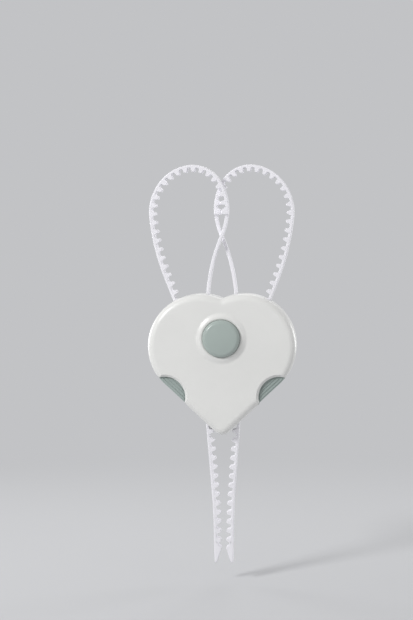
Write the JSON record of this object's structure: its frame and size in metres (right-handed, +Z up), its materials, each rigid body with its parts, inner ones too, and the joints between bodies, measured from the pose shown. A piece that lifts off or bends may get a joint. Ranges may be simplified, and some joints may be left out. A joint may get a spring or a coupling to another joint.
{
  "type": "cabinet safety lock",
  "caption": "Heart-shaped child safety lock with a round centre release, two side releases and two toothed straps that loop round a pair of cabinet knobs.",
  "frame": {"origin": "on the axis of the centre button, in the rear face of the case, which rests on the doors", "axes": "+X to the right seen from the front, +Y back towards the doors, +Z up, from the case to the knob loops"},
  "size_m": [0.0804, 0.0242, 0.2174],
  "materials": {
    "case_white": "satin",
    "strap_white": "satin",
    "button_grey": "satin",
    "side_grey": "satin",
    "inner_acetal": "matte",
    "steel": "satin"
  },
  "bodies": {
    "housing": {"front_cover": "case_white", "rear_cover": "case_white", "cover_screws": "steel", "left_strap_loop": "strap_white", "right_strap_loop": "strap_white", "left_anchor_pin": "steel", "right_anchor_pin": "steel", "centre_spring": "steel", "left_side_spring": "steel", "right_side_spring": "steel"},
    "centre_release": {"centre_button": "button_grey", "catch_plate": "inner_acetal", "plate_screws": "steel"},
    "left_release": {"left_side_button": "side_grey", "left_pawl": "inner_acetal", "left_pawl_pin": "steel"},
    "right_release": {"right_side_button": "side_grey", "right_pawl": "inner_acetal", "right_pawl_pin": "steel"},
    "left_strap_end": {"left_strap_tail": "strap_white"},
    "right_strap_end": {"right_strap_tail": "strap_white"}
  },
  "joints": [
    {"name": "centre_press", "type": "slide", "parent": "housing", "child": "centre_release", "axis": [0, 1, 0], "range_m": [0, 0.0034], "stiffness_N_per_m": 450, "springref_m": -0.004, "deforming": ["centre_spring"]},
    {"name": "left_press", "type": "slide", "parent": "housing", "child": "left_release", "axis": [1, 0, 0], "range_m": [0, 0.0028], "stiffness_N_per_m": 500, "springref_m": -0.003, "deforming": ["left_side_spring"]},
    {"name": "right_press", "type": "slide", "parent": "housing", "child": "right_release", "axis": [-1, 0, 0], "range_m": [0, 0.0028], "stiffness_N_per_m": 500, "springref_m": -0.003, "deforming": ["right_side_spring"]},
    {"name": "left_strap_feed", "type": "slide", "parent": "housing", "child": "left_strap_end", "axis": [0.0767, 0, -0.9971], "range_m": [0, 0.01], "deforming": ["left_pawl"]},
    {"name": "right_strap_feed", "type": "slide", "parent": "housing", "child": "right_strap_end", "axis": [-0.0767, 0, -0.9971], "range_m": [0, 0.01], "deforming": ["right_pawl"]}
  ]
}
